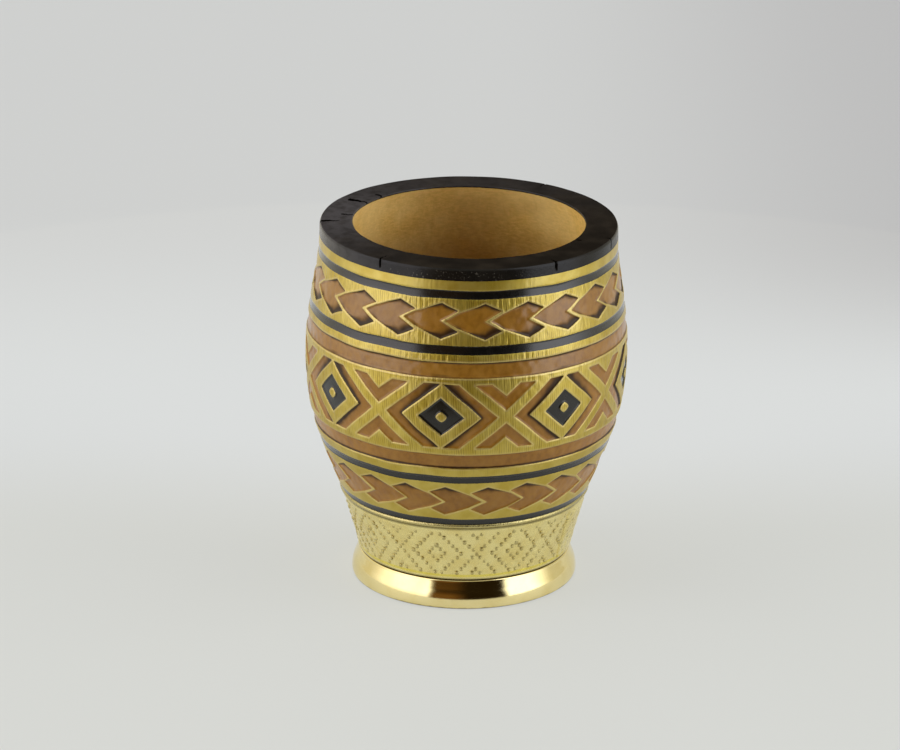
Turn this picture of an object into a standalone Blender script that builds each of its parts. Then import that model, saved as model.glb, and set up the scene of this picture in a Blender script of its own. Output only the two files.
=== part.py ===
"""A carved mate gourd cup in a metal base.

Three pieces: the thick gourd, hollow and open at the top, with its bands carved into the skin;
a sheet-metal collar round its lower end; and the flared foot that the collar stands on.

Lengths are in millimetres and angles in degrees, and place() turns a point into metres.
Angle 0 is the front, at -Y, and angles grow towards +X. The foot's underside is at z = 0.
"""

import math

import bmesh
import bpy
from mathutils import Vector
from mathutils.geometry import delaunay_2d_cdt

METRES = 0.001
HEIGHT = 91.8
GAP = 0.3

# The gourd dried leaning a little to its right: how far its mouth is shifted and tilted.
LEAN_SHIFT = 0.85
LEAN_TILT = 0.59

# The gourd's skin: radius at each height, with a smooth curve between.
SKIN = (
    (24.0, 31.3),
    (34.0, 35.3),
    (44.0, 38.5),
    (54.0, 39.8),
    (64.0, 39.8),
    (74.0, 38.6),
    (84.0, 37.1),
    (92.0, 36.7),
)
CARVED_DEPTH = 0.45

# The mouth and the cavity, whose lower part is half an ellipse.
RIM_EDGE = 0.6
MOUTH_RADIUS = 28.6
CAVITY_RADIUS = 32.6
CAVITY_WAIST = 58.0
CAVITY_FLOOR = 12.0
CAVITY_ROWS = 10

# The gourd's hidden end, inside the collar and the foot.
TUCK_TOP_RADIUS = 29.2
TUCK_LOW = (24.9, 7.6)
TUCK_FLOOR_RADIUS = 22.6
TUCK_CHAMFER = 2.0

# The collar: its rolled bead, the groove below it, and the skirt.
COLLAR_TOP = 23.8
BEAD_RADIUS = 31.2
BEAD_EDGE = 0.35
BEAD_LOW = 22.6
GROOVE = (30.3, 22.3)
SKIRT = ((21.7, 30.4), (17.0, 29.1), (12.0, 27.6), (7.4, 26.5))
SHEET = 0.9
LAP_ANGLE = 60.0
LAP_FADE = 60.0
LAP_STEP = 0.4
LAP_EDGE = 0.5

# The foot: a flared ring with a floor, hollowed a little underneath.
FOOT_WALL = ((7.1, 26.3), (5.0, 27.1), (3.0, 27.8), (1.2, 28.2), (0.3, 28.0))
FOOT_SOLE = (25.2, 27.6)
FOOT_RECESS = 0.8
FOOT_FLOOR = 2.4
FOOT_INNER = 25.3
FOOT_CHAMFER = 1.6

# The bands of the skin, from the top down, as the height where each begins and its paint.
BANDS = (
    (HEIGHT, "black"),
    (88.6, "gold"),
    (86.4, "black"),
    (84.3, "gold"),
    (73.1, "black"),
    (70.9, "gold"),
    (69.0, "bare"),
    (65.1, "gold"),
    (45.0, "bare"),
    (41.2, "gold"),
    (38.8, "black"),
    (36.8, "gold"),
    (25.7, "black"),
)
SKIN_END = COLLAR_TOP + GAP

# The wide band: diamonds, the frames round them, and the chevrons between.
DIAMONDS = 8
DIAMOND_START = -8.9
DIAMOND_Z = 55.1
DIAMOND_SLOPE = 0.616
FIELD_TOP = 63.5
FIELD_LOW = 46.9
FRAME_HALF = 19.7
PLATE_HALF = 13.95
SINK_HALF = 8.0
BUTTON_HALF = 2.6
CHEVRON_TIP = 1.7
CHEVRON_WIDTH = 3.55

# The two chains of darts, which point left in the upper band and right in the lower one.
DARTS = 22
UPPER_START = -8.1
UPPER_DART = ((0.0, 78.8), (14.8, 83.2), (21.4, 81.2), (14.4, 78.8), (21.4, 76.2), (14.9, 74.4))
LOWER_START = -7.6
LOWER_DART = ((0.0, 35.7), (-7.1, 33.9), (-0.3, 31.1), (-7.0, 28.9), (-1.0, 26.9), (13.3, 31.0))

# How finely the pieces are faceted, and the arc of one degree on the unrolled skin.
STEP = 7.5
FOOT_STEP = 5.0
ARC = 0.68
MERGE = 1e-6


def clear_scene():
    for thing in list(bpy.data.objects):
        bpy.data.objects.remove(thing, do_unlink=True)


def paint(name, colour, roughness, metallic=0.0):
    """A Principled material."""
    material = bpy.data.materials.new(name)
    material.use_nodes = True
    shader = material.node_tree.nodes["Principled BSDF"]
    shader.inputs["Base Color"].default_value = (*colour, 1.0)
    shader.inputs["Roughness"].default_value = roughness
    shader.inputs["Metallic"].default_value = metallic
    return material


def smooth_curve(points, z):
    """The value at z of a smooth curve through (height, value) points, in either order."""
    points = sorted(points)
    z = min(max(z, points[0][0]), points[-1][0])
    index = 0
    while index < len(points) - 2 and z > points[index + 1][0]:
        index += 1
    (z0, v0), (z1, v1) = points[index], points[index + 1]
    before = points[max(index - 1, 0)]
    after = points[min(index + 2, len(points) - 1)]
    rise0 = (v1 - before[1]) / (z1 - before[0]) * (z1 - z0)
    rise1 = (after[1] - v0) / (after[0] - z0) * (z1 - z0)
    t = (z - z0) / (z1 - z0)
    return (
        (2 * t**3 - 3 * t**2 + 1) * v0
        + (t**3 - 2 * t**2 + t) * rise0
        + (3 * t**2 - 2 * t**3) * v1
        + (t**3 - t**2) * rise1
    )


def skin_radius(z):
    return smooth_curve(SKIN, z)


def cavity_radius(z):
    """The inside of the wall: half an ellipse below its widest place, drawn in again to the mouth."""
    if z < CAVITY_WAIST:
        drop = (CAVITY_WAIST - z) / (CAVITY_WAIST - CAVITY_FLOOR)
        return CAVITY_RADIUS * math.sqrt(max(0.0, 1 - drop**2))
    rise = (z - CAVITY_WAIST) / (HEIGHT - CAVITY_WAIST)
    return CAVITY_RADIUS - (CAVITY_RADIUS - MOUTH_RADIUS) * rise**2


def place(angle, radius, z, leaning):
    """A point of a turned piece, in metres. A leaning piece follows the gourd's bent axis."""
    x = radius * math.sin(math.radians(angle))
    y = -radius * math.cos(math.radians(angle))
    if leaning:
        share = (z / HEIGHT) ** 2
        tilt = math.radians(LEAN_TILT) * share
        z -= x * math.sin(tilt)
        x = x * math.cos(tilt) + LEAN_SHIFT * share
    return Vector((x, y, z)) * METRES


def turn(bm, profile, angles, leaning=False, extra=None, slot=0):
    """Turns a profile of (radius, z) points into rings joined by faces. Radius 0 makes a pole."""
    rings = []
    for radius, z in profile:
        if radius == 0:
            rings.append([bm.verts.new(place(0, 0, z, leaning))] * len(angles))
            continue
        more = [extra(angle) if extra else 0.0 for angle in angles]
        rings.append([bm.verts.new(place(a, radius + m, z, leaning)) for a, m in zip(angles, more)])
    for upper, lower in zip(rings, rings[1:]):
        for index in range(len(angles)):
            near = (index + 1) % len(angles)
            corners = [upper[index], lower[index], lower[near], upper[near]]
            corners = list(dict.fromkeys(corners))
            bm.faces.new(corners).material_index = slot


def finish(bm, name, materials, smooth_angle=40.0):
    """Closes the mesh, points its faces outwards and makes it an object."""
    bmesh.ops.remove_doubles(bm, verts=bm.verts, dist=MERGE)
    bmesh.ops.recalc_face_normals(bm, faces=bm.faces)
    mesh = bpy.data.meshes.new(name)
    bm.to_mesh(mesh)
    bm.free()
    mesh.shade_smooth()
    mesh.set_sharp_from_angle(angle=math.radians(smooth_angle))
    for material in materials:
        mesh.materials.append(material)
    piece = bpy.data.objects.new(name, mesh)
    bpy.context.scene.collection.objects.link(piece)
    return piece


def shift(outline, angle):
    return [(angle + a, z) for a, z in outline]


def rhombus(half_width):
    half_height = half_width * DIAMOND_SLOPE
    top, low = DIAMOND_Z + half_height, DIAMOND_Z - half_height
    return [(half_width, DIAMOND_Z), (0, top), (-half_width, DIAMOND_Z), (0, low)]


def frame_half(side):
    """One half of the carved frame round a diamond, cut off at the field's borders."""
    rise = FIELD_TOP - DIAMOND_Z
    drop = DIAMOND_Z - FIELD_LOW
    outline = [
        (FRAME_HALF - rise / DIAMOND_SLOPE, FIELD_TOP),
        (FRAME_HALF, DIAMOND_Z),
        (FRAME_HALF - drop / DIAMOND_SLOPE, FIELD_LOW),
        (PLATE_HALF - drop / DIAMOND_SLOPE, FIELD_LOW),
        (PLATE_HALF, DIAMOND_Z),
        (PLATE_HALF - rise / DIAMOND_SLOPE, FIELD_TOP),
    ]
    return [(side * a, z) for a, z in outline]


def chevron(border, side):
    """A carved V whose open end lies on a border of the field."""
    tip = DIAMOND_Z + side * CHEVRON_TIP
    inner = tip + side * CHEVRON_WIDTH
    outer_half = abs(border - tip) / DIAMOND_SLOPE
    inner_half = abs(border - inner) / DIAMOND_SLOPE
    outer_edge = [(-outer_half, border), (0, tip), (outer_half, border)]
    return outer_edge + [(inner_half, border), (0, inner), (-inner_half, border)]


def carved_outlines():
    """Every outline on the unrolled skin, as (outline, paint, sunk or not), with spares past the seam."""
    found = []
    pitch = 360 / DIAMONDS
    for index in range(-DIAMONDS // 2 - 1, DIAMONDS // 2 + 2):
        centre = DIAMOND_START + index * pitch
        found.append((shift(frame_half(1), centre), "bare", True))
        found.append((shift(frame_half(-1), centre), "bare", True))
        found.append((shift(rhombus(SINK_HALF), centre), "black", True))
        found.append((shift(rhombus(BUTTON_HALF), centre), "gold", False))
        found.append((shift(chevron(FIELD_TOP, 1), centre + pitch / 2), "bare", True))
        found.append((shift(chevron(FIELD_LOW, -1), centre + pitch / 2), "bare", True))
    pitch = 360 / DARTS
    for index in range(-DARTS // 2 - 2, DARTS // 2 + 3):
        found.append((shift(UPPER_DART, UPPER_START + index * pitch), "bare", True))
        found.append((shift(LOWER_DART, LOWER_START + index * pitch), "bare", True))
    return found


def runs_left(outline):
    """Whether the outline is counterclockwise."""
    return sum(a0 * z1 - a1 * z0 for (a0, z0), (a1, z1) in zip(outline, outline[1:] + outline[:1])) > 0


def split(outline):
    """The outline with points added wherever an edge runs further round than one facet."""
    points = []
    for (a0, z0), (a1, z1) in zip(outline, outline[1:] + outline[:1]):
        count = max(1, math.ceil(abs(a1 - a0) / STEP - 0.01))
        points += [(a0 + (a1 - a0) * n / count, z0 + (z1 - z0) * n / count) for n in range(count)]
    return points


def unrolled_skin():
    """The skin's plan, cut into triangles along every ring and outline."""
    points, edges, faces = [], [], []
    heights = [z for z, _ in BANDS[1:]] + [SKIN_END]
    columns = round(360 / STEP) + 1
    for z in heights:
        first = len(points)
        points += [Vector(((-180 + STEP * n) * ARC, z)) for n in range(columns)]
        edges += [(first + n, first + n + 1) for n in range(columns - 1)]
    for row in range(len(heights) - 1):
        for end in (0, columns - 1):
            edges.append((row * columns + end, (row + 1) * columns + end))
    outlines = carved_outlines()
    for outline, _, _ in outlines:
        first = len(points)
        points += [Vector((a * ARC, z)) for a, z in split(outline)]
        loop = list(range(first, len(points)))
        faces.append(loop if runs_left(outline) else loop[::-1])
    cut_points, _, triangles, _, _, sources = delaunay_2d_cdt(points, edges, faces, 0, 1e-5)
    return cut_points, triangles, sources, outlines


def surface_of(triangle_points, sources, outlines):
    """The paint of a triangle of the skin, and whether it is sunk."""
    if sources:
        _, colour, sunk = outlines[max(sources)]
        return colour, sunk
    middle = sum(point.y for point in triangle_points) / 3
    for top, colour in reversed(BANDS):
        if middle < top:
            return colour, colour == "bare"
    raise ValueError("a triangle lies above the rim")


def carve_skin(bm, slots):
    """The carved skin: faces at two depths, and walls wherever the depth changes."""
    points, triangles, sources, outlines = unrolled_skin()
    corners = {}
    sides = {}

    def corner(index, sunk):
        if (index, sunk) not in corners:
            angle, z = points[index].x / ARC, points[index].y
            radius = skin_radius(z) - (CARVED_DEPTH if sunk else 0)
            corners[index, sunk] = bm.verts.new(place(angle, radius, z, True))
        return corners[index, sunk]

    for triangle, source in zip(triangles, sources):
        plan = [points[index] for index in triangle]
        if abs(sum(point.x for point in plan)) / 3 > 180 * ARC:
            continue
        colour, sunk = surface_of(plan, source, outlines)
        bm.faces.new([corner(index, sunk) for index in triangle]).material_index = slots[colour]
        for start, end in zip(triangle, triangle[1:] + triangle[:1]):
            sides.setdefault(frozenset((start, end)), []).append(sunk)
    for side, depths in sides.items():
        if len(set(depths)) == 2:
            start, end = side
            wall = [corner(start, False), corner(end, False)]
            wall += [corner(end, True), corner(start, True)]
            bm.faces.new(wall).material_index = slots["bare"]


def ring_angles(step):
    return [-180 + step * n for n in range(round(360 / step))]


def make_gourd():
    slots = {"bare": 0, "black": 1, "gold": 2}
    bm = bmesh.new()
    carve_skin(bm, slots)
    angles = ring_angles(STEP)
    band_end = BANDS[1][0]
    rim = [(skin_radius(band_end), band_end), (skin_radius(HEIGHT), HEIGHT - RIM_EDGE)]
    rim += [(skin_radius(HEIGHT) - RIM_EDGE, HEIGHT), (MOUTH_RADIUS + RIM_EDGE, HEIGHT)]
    rim.append((MOUTH_RADIUS, HEIGHT - RIM_EDGE))
    turn(bm, rim, angles, leaning=True, slot=slots["black"])
    wall = [rim[-1]]
    for row in range(1, CAVITY_ROWS):
        depth = (HEIGHT - RIM_EDGE - CAVITY_FLOOR) * math.sin(math.pi / 2 * row / CAVITY_ROWS)
        z = HEIGHT - RIM_EDGE - depth
        wall.append((cavity_radius(z), z))
    wall.append((0, CAVITY_FLOOR))
    turn(bm, wall, angles, leaning=True, slot=slots["bare"])
    low = FOOT_FLOOR + GAP
    tuck = [(skin_radius(SKIN_END), SKIN_END), (TUCK_TOP_RADIUS, SKIN_END), TUCK_LOW]
    tuck += [(TUCK_LOW[0], low + TUCK_CHAMFER), (TUCK_FLOOR_RADIUS, low), (0, low)]
    turn(bm, tuck, angles, leaning=True, slot=slots["bare"])
    materials = [
        paint("gourd_skin", (0.42, 0.24, 0.09), 0.6),
        paint("black_lacquer", (0.012, 0.011, 0.010), 0.3),
        paint("gold_paint", (0.60, 0.42, 0.12), 0.4, 0.7),
    ]
    return finish(bm, "gourd", materials)


def lap(angle):
    """How far the collar's lapped end stands out: a step, fading as the sheet runs on."""
    past = angle - LAP_ANGLE
    return LAP_STEP * (1 - past / LAP_FADE) if 0 <= past < LAP_FADE else 0.0


def make_collar():
    bm = bmesh.new()
    angles = ring_angles(FOOT_STEP)
    angles.append(LAP_ANGLE - LAP_EDGE)
    angles.sort()
    outside = [(BEAD_RADIUS - BEAD_EDGE, COLLAR_TOP), (BEAD_RADIUS, COLLAR_TOP - BEAD_EDGE)]
    outside += [(BEAD_RADIUS, BEAD_LOW + BEAD_EDGE), (BEAD_RADIUS - BEAD_EDGE, BEAD_LOW), GROOVE]
    outside += [(radius, z) for z, radius in SKIRT]
    inside = [(SKIRT[-1][1] - SHEET, SKIRT[-1][0]), (SKIRT[0][1] - SHEET, SKIRT[0][0])]
    inside.append((GROOVE[0] - SHEET / 2, COLLAR_TOP))
    turn(bm, outside + inside + outside[:1], angles, extra=lap)
    return finish(bm, "collar", [paint("embossed_metal", (0.62, 0.50, 0.22), 0.42, 1.0)])


def make_foot():
    bm = bmesh.new()
    wall = [(radius, z) for z, radius in FOOT_WALL]
    top = wall[0][1]
    under = [(FOOT_SOLE[1], 0), (FOOT_SOLE[0], 0)]
    under += [(FOOT_SOLE[0] - FOOT_RECESS, FOOT_RECESS), (0, FOOT_RECESS)]
    well = [(0, FOOT_FLOOR), (FOOT_INNER - FOOT_CHAMFER, FOOT_FLOOR)]
    well += [(FOOT_INNER, FOOT_FLOOR + FOOT_CHAMFER), (FOOT_INNER, top), wall[0]]
    turn(bm, wall + under, ring_angles(FOOT_STEP))
    turn(bm, well, ring_angles(FOOT_STEP))
    return finish(bm, "foot", [paint("polished_metal", (0.72, 0.58, 0.27), 0.12, 1.0)])


clear_scene()
make_gourd()
make_collar()
make_foot()
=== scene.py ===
"""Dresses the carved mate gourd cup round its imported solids: skin, rim, cavity, collar, foot and stage.

Inside the functions lengths are in millimetres and angles in degrees. Angle 0 is the front, at -Y,
and angles grow towards +X. lean() turns an (angle, radius, height) into a place in metres.
"""

import math

import bmesh
import bpy
import numpy as np
from bpy.props import FloatProperty, FloatVectorProperty, PointerProperty
from mathutils import Matrix, Vector


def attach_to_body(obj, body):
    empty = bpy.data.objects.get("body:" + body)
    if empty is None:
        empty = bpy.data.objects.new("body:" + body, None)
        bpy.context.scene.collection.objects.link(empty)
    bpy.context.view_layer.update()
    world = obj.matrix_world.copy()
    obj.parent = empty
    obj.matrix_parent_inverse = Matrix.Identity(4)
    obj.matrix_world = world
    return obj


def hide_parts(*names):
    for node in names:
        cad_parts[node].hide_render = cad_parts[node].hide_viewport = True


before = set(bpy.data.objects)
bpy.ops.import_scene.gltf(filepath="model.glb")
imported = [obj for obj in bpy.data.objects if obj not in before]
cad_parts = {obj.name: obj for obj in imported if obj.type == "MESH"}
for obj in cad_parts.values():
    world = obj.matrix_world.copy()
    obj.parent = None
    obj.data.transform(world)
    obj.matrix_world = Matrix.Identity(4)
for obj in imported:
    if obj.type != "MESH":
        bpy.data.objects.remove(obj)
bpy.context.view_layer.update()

bl_info = {
    "name": "Carved Mate Gourd Cup",
    "version": (1, 0, 0),
    "blender": (4, 5, 0),
    "location": "View3D > Sidebar > Gourd Cup",
    "description": "Makes the carved skin, rim, cavity, punched collar and polished foot of a mate gourd cup",
    "category": "Add Mesh",
}

MM = 0.001

# The gourd's skin: radius at each height, and how its axis leans to the right.
SKIN = (
    (24.0, 31.3),
    (34.0, 35.3),
    (44.0, 38.5),
    (54.0, 39.8),
    (64.0, 39.8),
    (74.0, 38.6),
    (84.0, 37.1),
    (92.0, 36.7),
)
HEIGHT = 91.8
LEAN_SHIFT = 0.85
LEAN_TILT = 0.59

# The cavity, whose lower part is half an ellipse.
CAVITY_RADIUS = 32.6
CAVITY_WAIST = 58.0
CAVITY_FLOOR = 12.0
MOUTH = 28.6
MOUTH_LOW = 91.2

# The rings of the skin as (low, top): the black lacquered ones and the bare ones.
BLACK_RINGS = ((84.3, 86.4), (70.9, 73.1), (36.8, 38.8), (23.0, 25.7))
BARE_RINGS = ((65.1, 69.0), (41.2, 45.0))
RIM_LOW = 88.6
SKIN_LOW = 23.85

# The wide band of diamonds, with the frames round them and the chevrons between.
DIAMONDS = 8
DIAMOND_START = -8.9
DIAMOND_Z = 55.1
DIAMOND_SLOPE = 0.616
FIELD_TOP = 63.5
FIELD_LOW = 46.9
FRAME_HALF = 19.7
PLATE_HALF = 13.95
SINK_HALF = 8.0
BUTTON_HALF = 2.5
DIAMOND_RADIUS = 39.6
DIAMOND_DRIFT = (0.0, -0.6, 0.5, -0.4, 0.7, -0.5, 0.3, 1.6)
CHEVRON_TIP = 1.7
CHEVRON_WIDTH = 3.55

# The two chains of darts, which point left in the upper band and right in the lower one.
DARTS = 22
UPPER_START = -8.1
UPPER_RADIUS = 38.0
UPPER_DART = (
    (0.0, 78.9),
    (4.2, 80.55),
    (14.6, 83.15),
    (20.9, 81.25),
    (14.4, 78.85),
    (20.9, 76.35),
    (14.6, 74.4),
    (4.2, 77.25),
)
LOWER_START = -7.6
LOWER_RADIUS = 34.4
LOWER_DART = (
    (0.0, 35.6),
    (-6.5, 33.9),
    (0.1, 31.1),
    (-6.7, 28.9),
    (-0.8, 27.2),
    (9.4, 29.4),
    (14.8, 31.1),
    (9.6, 33.3),
)

# Where the edges are burnt: the darts' as (path, reach, and the middle and spread of the darkest place, in
# degrees), and the lines along the bare rings as (height, half-width).
UPPER_BURNT = ((UPPER_DART[1:4], 0.9, 15.6, 5.0), (UPPER_DART[:4:-1], 1.9, 17.2, 5.6))
LOWER_BURNT = (((LOWER_DART[1], LOWER_DART[0], LOWER_DART[7]), 1.05, 0.6, 4.2),)
RING_LINES = ((68.85, 0.3), (41.32, 0.34), (65.1, 0.16))
FAR = 9.0

# The bands that the skin is made in, as (name, low, top, spacing of its rows).
BANDS = (
    ("skin_neck_rings", 85.4, RIM_LOW, 0.3),
    ("skin_upper_darts", 72.0, 85.4, 0.27),
    ("skin_shoulder_rings", 65.6, 72.0, 0.34),
    ("skin_diamonds", 44.5, 65.6, 0.33),
    ("skin_waist_rings", 37.8, 44.5, 0.34),
    ("skin_lower_darts", SKIN_LOW, 37.8, 0.27),
)

# How finely the skin is made, how thick its shell is, how far the pattern hangs below its named heights,
# how deep the rings and the worked gilt lie, and how many strokes of the tool run round and how far they lean.
COLUMNS = 1440
SKIN_WALL = 2.0
PATTERN_DROP = 0.28
RING_DEPTH = 0.14
GILT_DEPTH = 0.06
TOOL_DEPTH = 0.035
TOOL_LINES = 424
TOOL_LEAN = 0.06
MEAN_RADIUS = 38.0

# The rim's rounded edges, outer and inner, the spacing of its rows, and how far down its splits and chips lie.
RIM_ROUND = (0.9, 0.5)
RIM_SPACING = 0.22
SPLIT_REACH = (88.8, 90.6)
CHIP_HEIGHT = 90.4
CHIP_DEPTH = 0.12

# The rim's splits, as (angle, radius at its outer and inner end, half-width, depth).
RIM_SPLITS = (
    (-88.0, 37.4, 31.8, 0.85, 0.8),
    (-118.0, 33.8, 28.0, 0.95, 0.9),
    (-97.5, 31.6, 28.0, 0.50, 0.8),
    (-36.0, 37.4, 33.6, 0.28, 0.9),
    (34.5, 37.4, 34.4, 0.36, 1.0),
    (70.5, 37.4, 35.2, 0.40, 0.8),
    (-131.0, 30.6, 28.0, 0.55, 0.8),
    (63.0, 30.4, 28.0, 0.50, 0.5),
    (148.0, 37.4, 33.0, 0.26, 0.6),
)

# The collar: bead, groove and skirt as (height, radius), and its lapped seam.
COLLAR_TOP = 23.8
BEAD_RADIUS = 31.2
BEAD_LOW = 22.6
GROOVE = (22.3, 30.3)
SKIRT = ((21.7, 30.4), (17.0, 29.1), (12.0, 27.6), (7.4, 26.5))
INNER_TOP = ((29.5, COLLAR_TOP), (29.5, 22.4))
SHEET = 0.9
SEAM_HEIGHT = 8.4
LAP_ANGLE = 60.0
LAP_FADE = 60.0
LAP_STEP = 0.4

# The punched beads: rows along nested diamonds, by their half-widths in degrees, cut off by the band's edges,
# and the dimple round each bead, as its reach, width and depth.
PUNCH_REPEATS = 9
PUNCH_START = -13.8
PUNCH_HALVES = (28, 20, 12, 4)
PUNCH_STEP = 2
PUNCH_SLOPE = 0.575
PUNCH_MIDDLE = 14.8
PUNCH_REACH = 5.9
PUNCH_RADIUS = 28.5
BEAD_SINK = 0.19
BIG_BEAD = 1.5
DIMPLE = (1.3, 0.46, 0.2)

# The foot: a flared ring with a floor, hollowed a little underneath.
FOOT_WALL = ((7.1, 26.3), (5.0, 27.15), (3.2, 27.85), (1.2, 28.15), (0.3, 28.0))
FOOT_SOLE = (25.2, 27.6)
FOOT_RECESS = 0.8
FOOT_FLOOR = 2.4
FOOT_INNER = 25.3
FOOT_ROUND = 0.55

# The camera, fitted to the carved rings: where the foot's centre shows in the 900 by 750 picture.
PICTURE = (900, 750)
FOOT_PIXEL = (463.84, 566.76)
FOCAL_PIXELS = 4953.2
CAMERA_DISTANCE = 1248.5
CAMERA_PITCH = 19.985
CAMERA_ROLL = 0.244
SENSOR = 36.0

# The stage. A panel is (turn, half its width, low, top, softness) in degrees, seen from the cup.
LEFT_WALL = (-98, 40, -5, 60, 12)
LEFT_PANEL = (-75, 20, 0, 33, 4)
RIGHT_WALL = (98, 40, -5, 60, 12)
RIGHT_PANEL = (79, 27, 0, 33, 4)
FRONT_OPENING = (0, 35, -10, 24, 3)
LIGHT_TINT = (1.0, 1.0, 0.98)
TOP_FADE = (25, 80)
FLOOR_REACH = 8.0

# What the gloss mirrors: a round wall, bright at both sides, with a dark opening in front, and a dim floor,
# which is painted shade for the floor in front.
# Turns are in degrees and lengths in metres. A fade is the two turns or heights that it runs between.
WALL_TURN = 180
WALL_TOP = 0.40
MIRRORED_REACH = 0.30
SIDES_FADE = (-20, 20)
FAR_LEFT_FADE = (-71, -111)
FAR_RIGHT_FADE = (67, 101)
BEHIND_FADE = (125, 175)
LOW_LEFT_FADES = ((-10, -40), (0.07, 0.0))
ABOVE_FADES = ((-37, -29), (42, 34))
OPENING_MIDDLE = (4.8, 0.055)
OPENING_HALF = (37.5, 0.108)
OPENING_FADE = (1.45, 0.6)
OPENING_POWER = 4.0
WARM_FADES = ((6, -14), (0.15, 0.07))
DIM_FLOOR = (-33, 41, 0.16)
CARD_LIFT = 0.0005
CARD_POINTS = 61

# The floor's painted light, near the cup and in a band behind it, and its painted shade in the far corner, as
# fades in metres.
NEAR_FADE = (0.02, 0.25)
BAND_FADES = ((0.02, 0.10), (0.30, 0.12))
DIM_FADES = ((0.0, 0.16), (0.12, 0.28))

# Colours and gloss that are the same all over a finish.
# Painted shade down in the rim's splits.
SPLIT_SHADE = (0.002, 0.0015, 0.001)
VARNISH_TINT = (1.0, 0.94, 0.80)


def smooth_curve(points, z):
    """The values at heights z of a smooth curve through (height, value) points."""
    heights, values = np.array(sorted(points)).T
    z = np.clip(z, heights[0], heights[-1])
    index = np.clip(np.searchsorted(heights, z, side="right") - 1, 0, len(heights) - 2)
    before = np.maximum(index - 1, 0)
    after = np.minimum(index + 2, len(heights) - 1)
    span = heights[index + 1] - heights[index]
    t = (z - heights[index]) / span
    rise0 = (values[index + 1] - values[before]) / (heights[index + 1] - heights[before]) * span
    rise1 = (values[after] - values[index]) / (heights[after] - heights[index]) * span
    return (
        (2 * t**3 - 3 * t**2 + 1) * values[index]
        + (t**3 - 2 * t**2 + t) * rise0
        + (3 * t**2 - 2 * t**3) * values[index + 1]
        + (t**3 - t**2) * rise1
    )


def skin_radius(z):
    return smooth_curve(SKIN, z)


def cavity_radius(z):
    """The inside of the wall: half an ellipse below its widest place, drawn in again to the mouth."""
    drop = np.clip((CAVITY_WAIST - z) / (CAVITY_WAIST - CAVITY_FLOOR), 0, 1)
    rise = np.clip((z - CAVITY_WAIST) / (HEIGHT - CAVITY_WAIST), 0, 1)
    return CAVITY_RADIUS * np.sqrt(1 - drop**2) - (CAVITY_RADIUS - MOUTH) * rise**2


def lean(angle, radius, z):
    """Places on the gourd, in metres, along its bent axis."""
    x = radius * np.sin(np.radians(angle))
    y = -radius * np.cos(np.radians(angle))
    share = (z / HEIGHT) ** 2
    tilt = np.radians(LEAN_TILT) * share
    return np.stack([x * np.cos(tilt) + LEAN_SHIFT * share, y, z - x * np.sin(tilt)], axis=-1) * MM


def upright(angle, radius, z):
    """Places on the metal base, in metres, which stands straight."""
    turn = np.radians(angle)
    return np.stack(np.broadcast_arrays(radius * np.sin(turn), -radius * np.cos(turn), z), axis=-1) * MM


def ripple(angle, z, around, along, seed, waves=10):
    """Smooth uneven values round zero, alike at both ends of a turn, with swells of the given sizes."""
    random = np.random.default_rng(seed)
    total = np.zeros(np.broadcast(angle, z).shape)
    for _ in range(waves):
        way = random.uniform(0, 2 * math.pi)
        size = random.uniform(0.7, 1.5)
        turns = round(math.cos(way) * 2 * math.pi * MEAN_RADIUS / (around * size))
        rate = math.sin(way) * 2 * math.pi / (along * size)
        total += np.sin(np.radians(angle) * turns + z * rate + random.uniform(0, 2 * math.pi))
    return total / math.sqrt(waves)


def ease(value, low, high):
    """0 below low, 1 above high, and a smooth step between."""
    t = np.clip((value - low) / (high - low), 0, 1)
    return t * t * (3 - 2 * t)


def swell(distance, width):
    """1 at no distance, fading softly to 0 past the width."""
    return np.exp(-((distance / width) ** 2))


def turn_from(angle, centre):
    """How far round each angle is from a centre, from -180 up to 180."""
    return np.mod(angle - centre + 180, 360) - 180


def slab(z, low, top):
    """How far inside a ring each height is, in millimetres, and less than 0 outside."""
    return np.minimum(z - low, top - z)


def path_distance(x, z, path):
    """The distance from each point to an open path."""
    best = np.full(np.broadcast(x, z).shape, np.inf)
    for (x0, z0), (x1, z1) in zip(path, path[1:]):
        run, rise = x1 - x0, z1 - z0
        t = np.clip(((x - x0) * run + (z - z0) * rise) / (run**2 + rise**2), 0, 1)
        best = np.minimum(best, np.hypot(x - x0 - t * run, z - z0 - t * rise))
    return best


def outline_distance(x, z, outline):
    """How far inside a closed outline each point is, and less than 0 outside."""
    inside = np.zeros(np.broadcast(x, z).shape, bool)
    ring = list(outline) + [outline[0]]
    for (x0, z0), (x1, z1) in zip(ring, ring[1:]):
        if z0 != z1:
            level = (z0 <= z) != (z1 <= z)
            inside ^= level & (x < x0 + (z - z0) / (z1 - z0) * (x1 - x0))
    near = path_distance(x, z, ring)
    return np.where(inside, near, -near)


def unrolled(outline, arc):
    """An outline with its angles turned into millimetres."""
    return [(a * arc, z) for a, z in outline]


def mirrored(outline):
    return [(-a, z) for a, z in outline]


def repeat_place(angle, start, count):
    """Each angle's place in its own repeat, from 0 up to one pitch, and the repeat's number."""
    pitch = 360 / count
    turn = (angle - start) / pitch
    number = np.floor(turn)
    return (turn - number) * pitch, number.astype(int) % count


def ring_fields(angle, z):
    """The lacquered and bare rings: how far inside one each point is."""
    level = z + 0.07 * ripple(angle, z, 16, 40, seed=3)
    return [np.maximum.reduce([slab(level, *ring) for ring in rings]) for rings in (BLACK_RINGS, BARE_RINGS)]


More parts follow.
